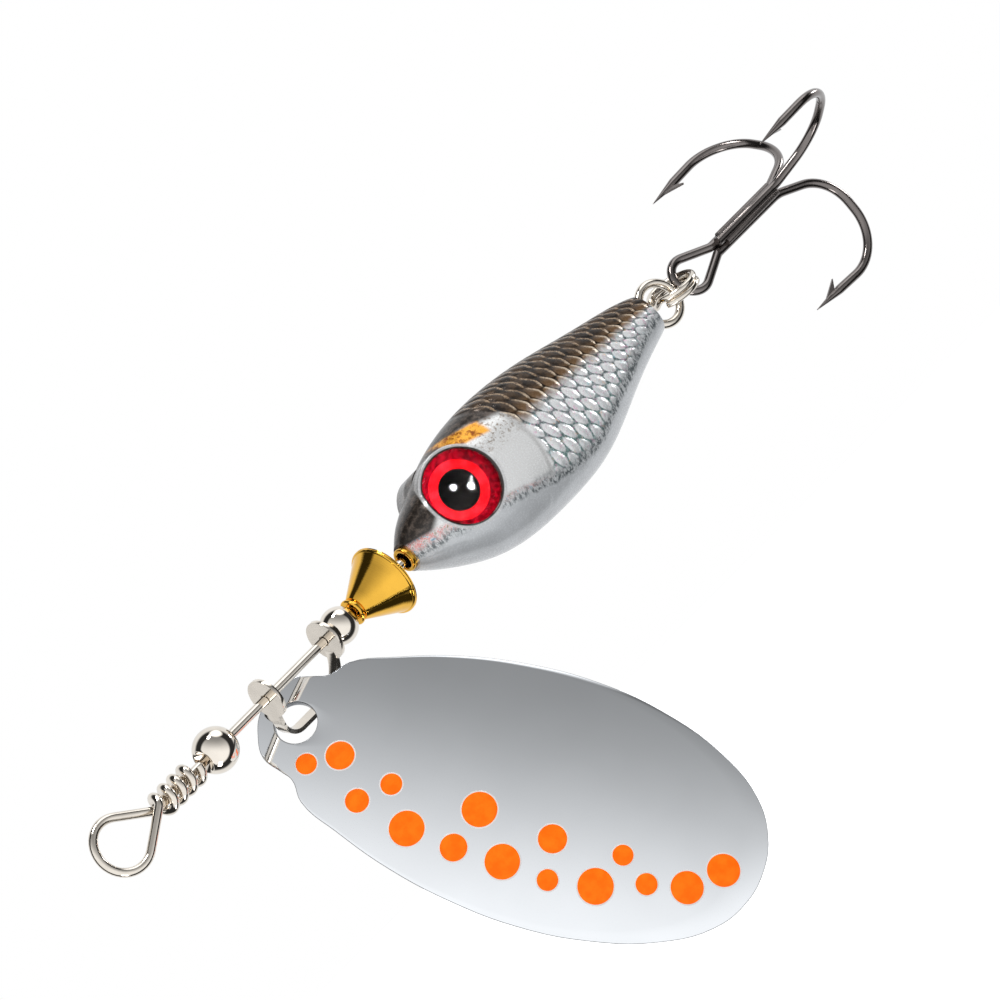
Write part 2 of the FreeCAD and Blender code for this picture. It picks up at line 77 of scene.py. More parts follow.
class Finish:
    """A material and short ways to add to its node graph."""

    def __init__(self, name):
        self.material = bpy.data.materials.new(name)
        self.material.use_nodes = True
        self.tree = self.material.node_tree
        self.shader = self.tree.nodes["Principled BSDF"]
        self.place = None

    def node(self, kind, inputs=None, **settings):
        made = self.tree.nodes.new(kind)
        for key, value in settings.items():
            setattr(made, key, value)
        for key, value in (inputs or {}).items():
            self.feed(made.inputs[key], value)
        return made

    def feed(self, socket, value):
        if isinstance(value, bpy.types.NodeSocket):
            self.tree.links.new(value, socket)
        else:
            socket.default_value = value

    def set(self, **values):
        for key, value in values.items():
            self.feed(self.shader.inputs[key.replace("_", " ")], value)

    def coordinates(self):
        """Object coordinates in millimetres."""
        if self.place is None:
            source = self.node("ShaderNodeTexCoord").outputs["Object"]
            scaled = self.node("ShaderNodeVectorMath", {0: source, 1: (1000, 1000, 1000)},
                               operation="MULTIPLY")
            self.place = scaled.outputs[0]
        return self.place

    def axes(self):
        split = self.node("ShaderNodeSeparateXYZ", {0: self.coordinates()})
        return split.outputs[0], split.outputs[1], split.outputs[2]

    def calc(self, operation, a, b=0.0, c=0.0):
        made = self.node("ShaderNodeMath", operation=operation)
        for i, value in enumerate((a, b, c)):
            if i < len(made.inputs):
                self.feed(made.inputs[i], value)
        return made.outputs[0]

    def ramp(self, value, low, high, bottom=0.0, top=1.0):
        """Smooth step from bottom to top as value goes from low to high."""
        made = self.node("ShaderNodeMapRange", {0: value, 1: low, 2: high, 3: bottom, 4: top},
                         interpolation_type="SMOOTHSTEP")
        return made.outputs[0]

    def blend(self, share, first, second, mode="MIX"):
        made = self.node("ShaderNodeMix", data_type="RGBA", blend_type=mode)
        self.feed(made.inputs[0], share)
        self.feed(made.inputs[6], first)
        self.feed(made.inputs[7], second)
        return made.outputs[2]

    def noise(self, scale, detail=3.0, rough=0.55, vector=None):
        made = self.node("ShaderNodeTexNoise", {"Vector": vector or self.coordinates(),
                                                "Scale": scale, "Detail": detail,
                                                "Roughness": rough})
        return made.outputs[0]

    def stretched(self, x, y, z):
        return self.node("ShaderNodeVectorMath", {0: self.coordinates(), 1: (x, y, z)},
                         operation="MULTIPLY").outputs[0]

    def combined(self, x, y, z=0.0):
        return self.node("ShaderNodeCombineXYZ", {0: x, 1: y, 2: z}).outputs[0]

    def colours(self, value, stops):
        made = self.node("ShaderNodeValToRGB", {0: value})
        ramp = made.color_ramp
        while len(ramp.elements) < len(stops):
            ramp.elements.new(0.5)
        for element, (position, colour) in zip(ramp.elements, stops):
            element.position = position
            element.color = (*colour, 1.0)
        return made.outputs[0]

    def curve(self, value, low, high, points):
        """A curve through (value, result) pairs; results are scaled to 0..1 by low and high."""
        span = points[-1][0] - points[0][0]
        share = self.calc("DIVIDE", self.calc("SUBTRACT", value, points[0][0]), span)
        made = self.node("ShaderNodeFloatCurve", {1: share})
        line = made.mapping.curves[0]
        while len(line.points) < len(points):
            line.points.new(0.5, 0.5)
        for spot, (at, result) in zip(line.points, points):
            spot.location = ((at - points[0][0]) / span, (result - low) / (high - low))
            spot.handle_type = "AUTO_CLAMPED"
        made.mapping.update()
        return self.calc("MULTIPLY_ADD", made.outputs[0], high - low, low)

    def bump(self, height, distance, strength=1.0, under=None):
        inputs = {"Height": height, "Distance": distance * MM, "Strength": strength}
        if under is not None:
            inputs["Normal"] = under
        return self.node("ShaderNodeBump", inputs).outputs[0]


def dress(names, material):
    """Gives these CAD nodes one finish."""
    for name in names:
        mesh = NODES[name].data
        mesh.materials.clear()
        mesh.materials.append(material)


def soften(name, angle=35.0, edge=0.0, segments=2):
    """Joins a CAD node's triangles for shading and, where asked, rounds its sharp edges."""
    piece = NODES[name]
    weld = piece.modifiers.new("joined", "WELD")
    weld.merge_threshold = 0.002 * MM
    if edge > 0:
        bevel = piece.modifiers.new("rounded edges", "BEVEL")
        bevel.width = edge * MM
        bevel.segments = segments
        bevel.limit_method = "ANGLE"
        bevel.angle_limit = math.radians(angle)
        bevel.use_clamp_overlap = True


def finished_piece(bm, name, material, body, smooth_angle=40.0):
    """Turns a bmesh into a piece that rides on a body."""
    bmesh.ops.recalc_face_normals(bm, faces=bm.faces)
    mesh = bpy.data.meshes.new(name)
    bm.to_mesh(mesh)
    bm.free()
    mesh.polygons.foreach_set("use_smooth", [True] * len(mesh.polygons))
    mesh.set_sharp_from_angle(angle=math.radians(smooth_angle))
    mesh.materials.append(material)
    piece = bpy.data.objects.new(name, mesh)
    bpy.context.scene.collection.objects.link(piece)
    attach(piece, body)
    return piece


# ------------------------------------------------------------ settings

class SpinnerMetalSettings(bpy.types.PropertyGroup):
    nickel: bpy.props.FloatVectorProperty(
        name="Nickel", description="Colour of the plated wire, beads and clevis",
        subtype="COLOR", size=3, min=0, max=1, default=(0.86, 0.79, 0.70))
    blade_nickel: bpy.props.FloatVectorProperty(
        name="Blade nickel", description="Colour of the blade's mirror plating",
        subtype="COLOR", size=3, min=0, max=1, default=(0.90, 0.915, 0.935))
    brass: bpy.props.FloatVectorProperty(
        name="Brass", description="Colour of the bell cap and the nose tube",
        subtype="COLOR", size=3, min=0, max=1, default=(0.95, 0.53, 0.07))
    black_nickel: bpy.props.FloatVectorProperty(
        name="Black nickel", description="Colour of the treble hook",
        subtype="COLOR", size=3, min=0, max=1, default=(0.22, 0.195, 0.185))
    scratch_depth: bpy.props.FloatProperty(
        name="Scratch depth", description="Depth of the fine draw marks, in millimetres",
        min=0, max=0.1, default=0.004)


class SpinnerBladeSettings(bpy.types.PropertyGroup):
    thickness: bpy.props.FloatProperty(
        name="Thickness", description="Sheet thickness, in millimetres",
        min=0.3, max=1.5, default=0.8)
    edge_round: bpy.props.FloatProperty(
        name="Edge round", description="Rounding of the polished edge, in millimetres",
        min=0.02, max=0.35, default=0.2)
    spot_rise: bpy.props.FloatProperty(
        name="Spot rise", description="Height of the enamel spots, in millimetres",
        min=0.02, max=0.4, default=0.1)
    primer_width: bpy.props.FloatProperty(
        name="Primer width", description="Pale edge round each spot, in millimetres",
        min=0, max=0.4, default=0.09)
    spot_colour: bpy.props.FloatVectorProperty(
        name="Spot colour", description="Colour of the enamel spots",
        subtype="COLOR", size=3, min=0, max=1, default=(1.0, 0.125, 0.0))


class SpinnerMinnowSettings(bpy.types.PropertyGroup):
    back: bpy.props.FloatVectorProperty(
        name="Back", description="Colour of the back", subtype="COLOR",
        size=3, min=0, max=1, default=(0.016, 0.011, 0.008))
    bronze: bpy.props.FloatVectorProperty(
        name="Bronze", description="Colour of the scales between back and flank",
        subtype="COLOR", size=3, min=0, max=1, default=(0.23, 0.135, 0.07))
    belly: bpy.props.FloatVectorProperty(
        name="Belly", description="Colour of the belly", subtype="COLOR",
        size=3, min=0, max=1, default=(0.74, 0.76, 0.78))
    scale_length: bpy.props.FloatProperty(
        name="Scale length", description="Length of one printed scale, in millimetres",
        min=0.8, max=5, default=2.0)
    scale_height: bpy.props.FloatProperty(
        name="Scale height", description="Height of one printed scale, in millimetres",
        min=0.3, max=3, default=1.85)
    iris: bpy.props.FloatVectorProperty(
        name="Iris", description="Colour of the eye's bright ring", subtype="COLOR",
        size=3, min=0, max=1, default=(0.98, 0.004, 0.010))


class SpinnerStageSettings(bpy.types.PropertyGroup):
    distance: bpy.props.FloatProperty(
        name="Camera distance", description="From the lure to the camera", subtype="DISTANCE",
        min=0.2, max=3, default=0.7)
    lens: bpy.props.FloatProperty(
        name="Lens", description="Focal length, in millimetres", min=50, max=500,
        default=292.4)
    roll: bpy.props.FloatProperty(
        name="Roll", description="Turn of the camera about its own axis", subtype="ANGLE",
        default=math.radians(0.2))
    key_power: bpy.props.FloatProperty(
        name="Key light", description="Power of the main soft light", subtype="POWER",
        min=0, max=50, default=0.9)
    fill_power: bpy.props.FloatProperty(
        name="Fill light", description="Power of the fill lights", subtype="POWER",
        min=0, max=50, default=0.35)


# ------------------------------------------------------------ metal finishes

def plated(name, colour, roughness, grain, depth, dull=0.08):
    """Plated metal with a fine grain, small pits and slightly dull patches."""
    finish = Finish(name)
    cloud = finish.noise(0.35, 4.0)
    fine = finish.noise(grain, 4.0, 0.6)
    tint = finish.ramp(cloud, 0.35, 0.7)
    darker = tuple(c * 0.88 for c in colour)
    warm = (colour[0] * 1.0, colour[1] * 0.965, colour[2] * 0.90)
    base = finish.blend(tint, (*darker, 1), (*colour, 1))
    specks = finish.ramp(finish.noise(grain * 0.6, 2.0), 0.62, 0.74)
    base = finish.blend(finish.calc("MULTIPLY", specks, 0.5), base, (*warm, 1))
    finish.set(Base_Color=base, Metallic=1.0,
               Roughness=finish.calc("MULTIPLY_ADD", finish.ramp(fine, 0.4, 0.8), dull,
                                     roughness),
               Normal=finish.bump(fine, depth, 0.6))
    return finish


class SPINNER_OT_wire_parts(bpy.types.Operator):
    """Bright nickel plating on the shaft, clevis, split ring and beads"""

    bl_idname = "spinner.wire_parts"
    bl_label = "Wire, clevis and beads"

    def execute(self, context):
        s = context.scene.spinner_metal
        wire = plated("nickel wire", tuple(s.nickel), 0.07, 9.0, s.scratch_depth)
        # Draw marks run along the wire.
        marks = wire.noise(1.0, 2.0, 0.5, wire.stretched(0.5, 9.0, 9.0))
        normal = wire.bump(marks, s.scratch_depth * 2, 0.35,
                           wire.shader.inputs["Normal"].links[0].from_socket)
        wire.set(Normal=normal)
        dress(["shaft_wire", "split_ring"], wire.material)
        strip = plated("nickel strip", tuple(s.nickel), 0.10, 7.0, s.scratch_depth * 1.5)
        dress(["clevis"], strip.material)
        ball = plated("nickel beads", tuple(min(1, c * 1.06) for c in s.nickel), 0.035, 5.0,
                      s.scratch_depth * 0.5, 0.05)
        dress(["front_bead", "bearing_bead"], ball.material)
        soften("clevis", edge=0.09)
        soften("front_bead", edge=0.08)
        soften("bearing_bead", edge=0.06)
        for name in ("shaft_wire", "split_ring"):
            soften(name)
        return {"FINISHED"}


class SPINNER_OT_bell_cap(bpy.types.Operator):
    """Spun brass cap and the brass tube in the minnow's nose"""

    bl_idname = "spinner.bell_cap"
    bl_label = "Bell cap and nose tube"

    def execute(self, context):
        s = context.scene.spinner_metal
        brass = plated("lacquered brass", tuple(s.brass), 0.06, 6.0, s.scratch_depth)
        x = brass.axes()[0]
        # Turning marks: rings that follow the spinning of the cone.
        rings = brass.noise(1.0, 3.0, 0.6, brass.combined(brass.calc("MULTIPLY", x, 11.0), 0.0))
        normal = brass.bump(rings, s.scratch_depth * 2.5, 0.5,
                            brass.shader.inputs["Normal"].links[0].from_socket)
        brass.set(Normal=normal)
        dress(["bell_cap"], brass.material)
        soften("bell_cap", edge=0.05)
        tube = plated("tube brass", tuple(c * 0.85 for c in s.brass), 0.16, 6.0,
                      s.scratch_depth)
        dress(["bore_tube"], tube.material)
        soften("bore_tube")
        return {"FINISHED"}


class SPINNER_OT_treble(bpy.types.Operator):
    """Black nickel on the treble hook and its braze"""

    bl_idname = "spinner.treble"
    bl_label = "Treble hook"

    def execute(self, context):
        s = context.scene.spinner_metal
        hook = plated("black nickel", tuple(s.black_nickel), 0.13, 8.0, s.scratch_depth * 2)
        hook.set(Coat_Weight=0.35, Coat_Roughness=0.06)
        dress(["treble_double_hook", "treble_single_hook"], hook.material)
        braze = plated("plated braze", tuple(c * 0.9 for c in s.black_nickel), 0.3, 4.0,
                       s.scratch_depth * 8)
        dress(["treble_braze"], braze.material)
        soften("treble_double_hook")
        soften("treble_single_hook")
        soften("treble_braze", edge=0.06)
        return {"FINISHED"}


# ------------------------------------------------------------ blade

# Outline: distance behind the hole's centre, half width. The heel comes first.
BLADE_OUTLINE = [(-3.3, 0.0), (-2.85, 1.95), (-1.75, 3.75), (0.1, 4.5), (1.3, 4.95),
                 (2.7, 6.6), (6.5, 8.25), (12.0, 10.05), (18.0, 11.15), (24.0, 11.45),
                 (30.0, 10.75), (36.0, 8.85), (40.2, 6.1), (42.1, 3.2), (42.7, 0.0)]
DISH_LONG_R = 95.0
DISH_WIDE_R = 42.0
DISH_CENTRE = 22.5
HOLE_R = 1.9
# Enamel spots: distance behind the hole, distance to the lower side, radius.
SPOTS = [(4.7, 1.8, 1.30), (2.1, 3.3, 0.96), (9.8, 3.0, 0.98), (7.4, 5.2, 1.08),
         (17.8, 2.9, 1.59), (12.3, 6.3, 1.59), (24.6, 3.4, 1.30), (16.7, 6.7, 1.23),
         (30.8, 2.8, 0.94), (21.1, 6.6, 1.57), (39.4, 1.1, 1.48), (29.4, 6.1, 1.61),
         (36.9, 3.6, 1.47), (25.3, 6.9, 0.96), (33.5, 4.5, 0.98)]
HANG_AXIS = Vector((-0.334, 0.317, -0.888)).normalized()
HANG_NORMAL = Vector((0.363, 0.912, 0.189))
CLEVIS_DOWN = Vector((0.0, -0.544639, -0.838671))
CLEVIS_DEPTH = 4.5
CLEVIS_LEAN = 0.8
HOLE_FROM_BEND = Vector((-0.905, -1.453, 1.45))


def dish_height(along, across):
    """Height of the blade's convex face over its own plane."""
    offset = along - DISH_CENTRE
    ring = DISH_WIDE_R - (DISH_LONG_R - math.sqrt(DISH_LONG_R ** 2 - offset ** 2))
    return math.sqrt(ring ** 2 - across ** 2) - DISH_WIDE_R


def blade_matrix(thickness):
    """From the flat blade, in millimetres, to its place, in metres."""
    normal = (HANG_NORMAL - HANG_AXIS * HANG_NORMAL.dot(HANG_AXIS)).normalized()
    side = normal.cross(HANG_AXIS)
    turn = Matrix((HANG_AXIS, side, normal)).transposed()
    low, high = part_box("clevis")
    middle = Vector(((low.x + high.x) / 2 / MM, 0, 0)) + Vector((CLEVIS_LEAN, 0, 0))
    bend = middle + CLEVIS_DOWN * CLEVIS_DEPTH
    hole_at = Vector((0, 0, dish_height(0, 0) - thickness / 2))
    base = bend + turn @ (HOLE_FROM_BEND - hole_at)
    return Matrix.Scale(MM, 4) @ Matrix.Translation(base) @ turn.to_4x4()


def outline_loop(bm):
    """Smooth closed outline through the named points, as a loop of edges."""
    upper = BLADE_OUTLINE
    lower = [(along, -half) for along, half in reversed(BLADE_OUTLINE[1:-1])]
    points = [(a, h) for a, h in upper] + lower
    line = bpy.data.curves.new("blade outline", "CURVE")
    line.dimensions = "3D"
    line.resolution_u = 5
    spline = line.splines.new("BEZIER")
    spline.bezier_points.add(len(points) - 1)
    for spot, (along, half) in zip(spline.bezier_points, points):
        spot.co = (along, half, 0)
        spot.handle_left_type = spot.handle_right_type = "AUTO"
    spline.use_cyclic_u = True
    guide = bpy.data.objects.new("blade outline", line)
    bpy.context.scene.collection.objects.link(guide)
    bpy.context.view_layer.update()
    shape = bpy.data.meshes.new_from_object(guide)
    bm.from_mesh(shape)
    bpy.data.objects.remove(guide)
    bpy.data.curves.remove(line)
    bpy.data.meshes.remove(shape)
    return [e for e in bm.edges]


class SPINNER_OT_blade(bpy.types.Operator):
    """Dished, mirror-plated blade with rounded edges and enamel spots that glow with painted light
    """

    bl_idname = "spinner.blade"
    bl_label = "Blade and spots"

    def execute(self, context):
        s = context.scene.spinner_blade
        metal = context.scene.spinner_metal
        place = blade_matrix(s.thickness)
        bm = bmesh.new()
        outer = outline_loop(bm)
        made = bmesh.ops.extrude_edge_only(bm, edges=outer)["geom"]
        for v in made:
            if isinstance(v, bmesh.types.BMVert):
                v.co *= HOLE_R / v.co.length
        rims = set(outer) | {e for e in made if isinstance(e, bmesh.types.BMEdge)
                             and len(e.link_faces) == 1}
        spokes = [e for e in bm.edges if e not in rims]
        bmesh.ops.subdivide_edges(bm, edges=spokes, cuts=16, use_grid_fill=False)
        for v in bm.verts:
            v.co.z = dish_height(v.co.x, v.co.y)
        bmesh.ops.recalc_face_normals(bm, faces=bm.faces)
        if sum(f.normal.z for f in bm.faces) < 0:
            bmesh.ops.reverse_faces(bm, faces=bm.faces[:])
        bmesh.ops.solidify(bm, geom=bm.faces[:], thickness=s.thickness)
        bmesh.ops.recalc_face_normals(bm, faces=bm.faces)
        rims = [e for e in bm.edges if len(e.link_faces) == 2
                and e.calc_face_angle(0) > math.radians(60)]
        bmesh.ops.bevel(bm, geom=rims, offset=s.edge_round, segments=3, profile=0.5,
                        affect="EDGES", material=1, clamp_overlap=True)
        for face in bm.faces:
            if abs(face.normal.z) < 0.5:
                face.material_index = 1
        bmesh.ops.transform(bm, matrix=place, verts=bm.verts)
        blade = finished_piece(bm, "blade", self.mirror(metal).material, "blade",
                               60)
        blade.data.materials.append(self.dark_rim_finish().material)
        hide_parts("spinner_blade")

        self.discs("blade_spots", 0.0, s.spot_rise, place, self.enamel(s).material)
        self.discs("spot_primer", s.primer_width, s.spot_rise * 0.4, place,
                   self.primer().material)
        return {"FINISHED"}

    def discs(self, name, wider, rise, place, material):
        """Low domes that follow the dish, one for each spot."""
        bm = bmesh.new()
        for along, across, radius in SPOTS:
            made = bmesh.ops.create_uvsphere(bm, u_segments=40, v_segments=12,
                                             radius=radius + wider)
            for v in made["verts"]:
                v.co.z *= rise / radius
                v.co.x += along
                v.co.y -= across
                v.co.z += dish_height(v.co.x, v.co.y)
        bmesh.ops.transform(bm, matrix=place, verts=bm.verts)
        finished_piece(bm, name, material, "blade")

    def primer(self):
        finish = Finish("pale primer")
        tint = finish.blend(finish.ramp(finish.noise(1.5, 3.0), 0.3, 0.7), (0.80, 0.78, 0.76, 1),
                            (0.92, 0.90, 0.88, 1))
        finish.set(Base_Color=tint, Roughness=0.4)
        return finish

    def mirror(self, metal):
        colour = tuple(metal.blade_nickel)
        finish = Finish("mirror nickel")
        wave = finish.noise(0.12, 2.0)
        fine = finish.noise(14.0, 3.0)
        lines = finish.noise(1.0, 2.0, 0.5, finish.stretched(0.6, 14.0, 0.6))
        tint = finish.blend(finish.ramp(wave, 0.3, 0.7), (*[c * 0.965 for c in colour], 1),
                            (*colour, 1))
        hair = finish.ramp(lines, 0.72, 0.8)
        finish.set(Base_Color=tint, Metallic=1.0,
                   Roughness=finish.calc("MULTIPLY_ADD", hair, 0.05, 0.045),
                   Normal=finish.bump(fine, 0.0015, 0.4))
        return finish

    def dark_rim_finish(self):
        # Dark grey metal with fine streaks on the blade's edge faces.
        finish = Finish("dark blade rim")
        streaks = finish.noise(1.0, 3.0, 0.6, finish.stretched(6.0, 6.0, 6.0))
        tint = finish.blend(finish.ramp(streaks, 0.3, 0.7), (0.10, 0.105, 0.115, 1),
                            (0.24, 0.25, 0.265, 1))
        finish.set(Base_Color=tint, Metallic=1.0,
                   Roughness=finish.ramp(streaks, 0.3, 0.7, 0.18, 0.28),
                   Normal=finish.bump(streaks, 0.003, 0.5))
        return finish

    def enamel(self, s):
        finish = Finish("orange enamel")
        colour = tuple(s.spot_colour)
        cloud = finish.ramp(finish.noise(1.1, 3.0), 0.3, 0.75)
        light = (colour[0], min(1, colour[1] * 1.25 + 0.01), colour[2] + 0.003)
        tint = finish.blend(cloud, (*colour, 1), (*light, 1))
        # Emission makes the enamel glow: painted light that keeps the orange bright under any lamp.
        finish.set(Base_Color=tint, Roughness=0.45, Emission_Color=tint,
                   Normal=finish.bump(finish.noise(5.0, 2.0), 0.01, 0.5))
        finish.shader.inputs["Emission Strength"].default_value = 0.38
        finish.shader.inputs["Specular IOR Level"].default_value = 0.12
        return finish


# ------------------------------------------------------------ minnow

EYE_BACK = 7.2
EYE_UP = 0.95
EYE_TURN = 15.0
EYE_OUT = 3.2
SOCKET_R = 3.575


class SPINNER_OT_minnow(bpy.types.Operator):
    """Foil scales, dark back, smooth cheek and pale belly on the cast body"""

    bl_idname = "spinner.minnow"
    bl_label = "Minnow body"

    def execute(self, context):
        s = context.scene.spinner_minnow
        p = Finish("minnow paint")
        x, y, z = p.axes()
        back = p.calc("SUBTRACT", NOSE_X, x)
        side = p.calc("ABSOLUTE", y)

        # How high on the body, as a share of the local height above or below the axis.
        top = p.curve(back, 0, 8, [(0, 1.6), (2.5, 2.95), (5, 3.95), (8, 5.05), (12, 5.85),
                                   (16, 6.0), (20, 5.7), (24, 5.05), (28, 4.2), (32, 3.4),
                                   (36.2, 2.4)])
        level = p.calc("DIVIDE", z, top)
        edge = p.curve(back, -8, 1, [(0, -0.9), (4, -1.9), (8, -2.9), (12, -4.0), (17, -5.1),
                                     (20, -5.2), (25, -4.0), (29, -2.8), (33, -1.6),
                                     (36.2, -0.9)])
        wobble = p.calc("MULTIPLY_ADD", p.noise(0.8, 3.0), 0.9, -0.45)
        above_belly = p.calc("SUBTRACT", p.calc("ADD", z, wobble), edge)

        # Scales: two staggered sets of tall ovals, leaning a little towards the tail.
        girth = p.calc("MULTIPLY", p.calc("ARCTAN2", z, p.calc("MULTIPLY", side, 1.15)), 4.3)
        column = p.calc("DIVIDE", p.calc("MULTIPLY_ADD", girth, 0.42, back), s.scale_length)
        row = p.calc("DIVIDE", girth, s.scale_height)

        def ovals(shift):
            along = p.calc("SUBTRACT", p.calc("FRACT", p.calc("ADD", column, shift)), 0.5)
            up = p.calc("SUBTRACT", p.calc("FRACT", p.calc("ADD", row, shift)), 0.5)
            reach = p.calc("ADD", p.calc("POWER", p.calc("ABSOLUTE", p.calc("DIVIDE", along,
                                                                           0.29)), 1.7),
                           p.calc("POWER", p.calc("ABSOLUTE", p.calc("DIVIDE", up, 0.50)), 1.7))
            return reach, along

        first, first_along = ovals(0.0)
        second, second_along = ovals(0.5)
        ragged = p.calc("MULTIPLY_ADD", p.noise(2.2, 2.0), 0.5, -0.25)
        out = p.calc("ADD", p.calc("MINIMUM", first, second), ragged)
        nearer = p.calc("LESS_THAN", second, first)
        lean = p.calc("ADD", p.calc("MULTIPLY", second_along, nearer),
                      p.calc("MULTIPLY", first_along, p.calc("SUBTRACT", 1.0, nearer)))
        scale_face = p.ramp(out, 0.68, 1.02, 1.0, 0.0)
        luck = p.noise(0.9, 2.0)

        eye_distance = p.calc("SQRT", p.calc("ADD",
            p.calc("POWER", p.calc("SUBTRACT", back, EYE_BACK), 2.0),
            p.calc("POWER", p.calc("SUBTRACT", z, EYE_UP), 2.0)))
        gill = p.calc("ADD", eye_distance, p.calc("MULTIPLY", z, 0.12))
        on_scales = p.calc("MULTIPLY", p.ramp(gill, 8.3, 8.9), p.ramp(back, 9.0, 11.0))
        gill_line = p.calc("MULTIPLY", p.ramp(gill, 7.9, 8.25), p.ramp(gill, 8.3, 8.75, 1.0, 0.0))
        gill_line = p.calc("MULTIPLY", gill_line, p.ramp(back, 9.5, 11.5))

        # Foil: silver scale faces over grey-teal gaps, with small painted glints in rainbow
        # colours.
        grain = p.noise(5.0, 4.0, 0.65)
        white_foil = p.blend(p.ramp(luck, 0.35, 0.7), (0.99, 0.99, 0.99, 1),
                             (0.84, 0.87, 0.88, 1))
        gap = p.blend(p.ramp(grain, 0.35, 0.65), (0.10, 0.13, 0.135, 1), (0.40, 0.46, 0.47, 1))
        low_gap = p.blend(p.ramp(grain, 0.35, 0.65), (0.10, 0.20, 0.19, 1),
                          (0.36, 0.50, 0.48, 1))
        gap = p.blend(p.ramp(z, -3.5, -0.5, 1.0, 0.0), gap, low_gap)
        foil = p.blend(scale_face, gap, white_foil)
        rainbow = p.colours(p.noise(1.3, 3.0, 0.6), [
            (0.30, (0.10, 0.65, 0.75)), (0.42, (0.95, 0.96, 0.97)), (0.50, (0.85, 0.30, 0.55)),
            (0.58, (0.97, 0.97, 0.97)), (0.66, (1.0, 0.50, 0.20)), (0.78, (0.40, 0.40, 0.95))])
        glint_spots = p.ramp(p.noise(3.2, 4.0, 0.7), 0.52, 0.62)
        foil = p.blend(p.calc("MULTIPLY", glint_spots, 0.6), foil, rainbow)

        # Back: near black, with painted highlights of bright bronze along the rear edge of each
        # scale.
        rim = p.calc("MULTIPLY", p.ramp(lean, 0.02, 0.16), p.ramp(out, 0.35, 0.75))
        rim = p.calc("MULTIPLY", rim, p.ramp(out, 0.95, 1.2, 1.0, 0.0))
        ground = p.blend(p.ramp(luck, 0.35, 0.65), (*s.back, 1),
                         (*[c * 0.28 for c in s.bronze], 1))
        bronze_highlight = p.blend(p.ramp(grain, 0.4, 0.6), (*s.bronze, 1), (0.62, 0.44, 0.28, 1))
        middle = p.blend(scale_face, ground, (*s.bronze, 1))
        middle = p.blend(rim, middle, (0.80, 0.66, 0.50, 1))
        deep = p.blend(p.calc("MULTIPLY", rim, 0.75), ground, bronze_highlight)
        upper = p.blend(p.ramp(level, 0.32, 0.56), middle, deep)
        skin = p.blend(p.ramp(p.calc("MULTIPLY_ADD", p.noise(1.2, 3.0), 0.22, level),
                              0.20, 0.46), foil, upper)

        # Head: dark smooth forehead, bright cheek with faint brown specks.
        speck = p.ramp(p.noise(3.2, 4.0, 0.65), 0.50, 0.66)
        cheek = p.blend(p.calc("MULTIPLY", speck, p.ramp(level, 0.05, 0.35)),
                        (0.93, 0.93, 0.92, 1), (0.34, 0.27, 0.21, 1))
        forehead = p.blend(p.ramp(p.noise(2.0, 3.0), 0.4, 0.7), (0.03, 0.024, 0.02, 1),
                           (0.11, 0.085, 0.07, 1))
        forehead_height = p.calc("SUBTRACT", z, p.curve(back, -2, 8, [
            (0, -0.7), (2, 0.0), (4, 1.5), (6, 3.3), (8, 4.35), (11, 4.7), (14, 3.6),
            (18, 3.0)]))
        head = p.blend(p.ramp(forehead_height, -0.5, 0.35), cheek, forehead)
        gold_height = p.calc("SUBTRACT", z, p.calc("MULTIPLY_ADD", back, -0.30, 7.55))
        gold = p.calc("MULTIPLY", p.ramp(gold_height, -1.25, -0.8),
                      p.ramp(gold_height, 0.35, 0.75, 1.0, 0.0))
        gold = p.calc("MULTIPLY", gold, p.ramp(back, 8.6, 9.6))
        gold = p.calc("MULTIPLY", gold, p.ramp(back, 12.6, 13.2, 1.0, 0.0))
        gold_tint = p.blend(p.ramp(p.noise(1.8, 4.0, 0.7), 0.36, 0.56), (0.30, 0.07, 0.0, 1),
                            (1.0, 0.46, 0.05, 1))
        head = p.blend(gold, head, gold_tint)
        skin = p.blend(on_scales, head, skin)
        skin = p.blend(p.calc("MULTIPLY", gill_line, 0.22), skin, (0.10, 0.08, 0.07, 1))

        # Sparkling strip under the eye, running back from the nose: painted glints of white and
        # colour.
        strip = p.calc("ABSOLUTE", p.calc("SUBTRACT", z, p.calc("MULTIPLY_ADD", back,
                                                                -0.33, 0.1)))
        strip = p.calc("MULTIPLY", p.ramp(strip, 0.35, 0.9, 1.0, 0.0),
                       p.ramp(back, 13.0, 15.0, 1.0, 0.0))
        sparkle = p.colours(p.noise(2.2, 4.0, 0.75), [
            (0.34, (0.0, 0.28, 0.48)), (0.42, (0.97, 0.97, 0.97)), (0.48, (0.80, 0.10, 0.08)),
            (0.54, (0.98, 0.98, 0.98)), (0.62, (0.25, 0.12, 0.05)), (0.72, (0.98, 0.65, 0.20))])
        skin = p.blend(p.calc("MULTIPLY", strip, 0.95), skin, sparkle)

        # Mottled edge of the foil over the smooth belly.
        mottle = p.blend(p.ramp(p.noise(3.4, 5.0, 0.7, p.stretched(1.0, 1.0, 0.45)), 0.42, 0.58),
                         (0.16, 0.18, 0.19, 1), (0.72, 0.74, 0.75, 1))
        skin = p.blend(p.ramp(above_belly, 0.2, 1.3, 1.0, 0.0), skin, mottle)
        belly = p.blend(p.ramp(p.noise(0.5, 4.0), 0.3, 0.75), (*[c * 0.86 for c in s.belly], 1),
                        (*s.belly, 1))
        on_belly = p.ramp(above_belly, -0.25, 0.15, 1.0, 0.0)
        skin = p.blend(on_belly, skin, belly)

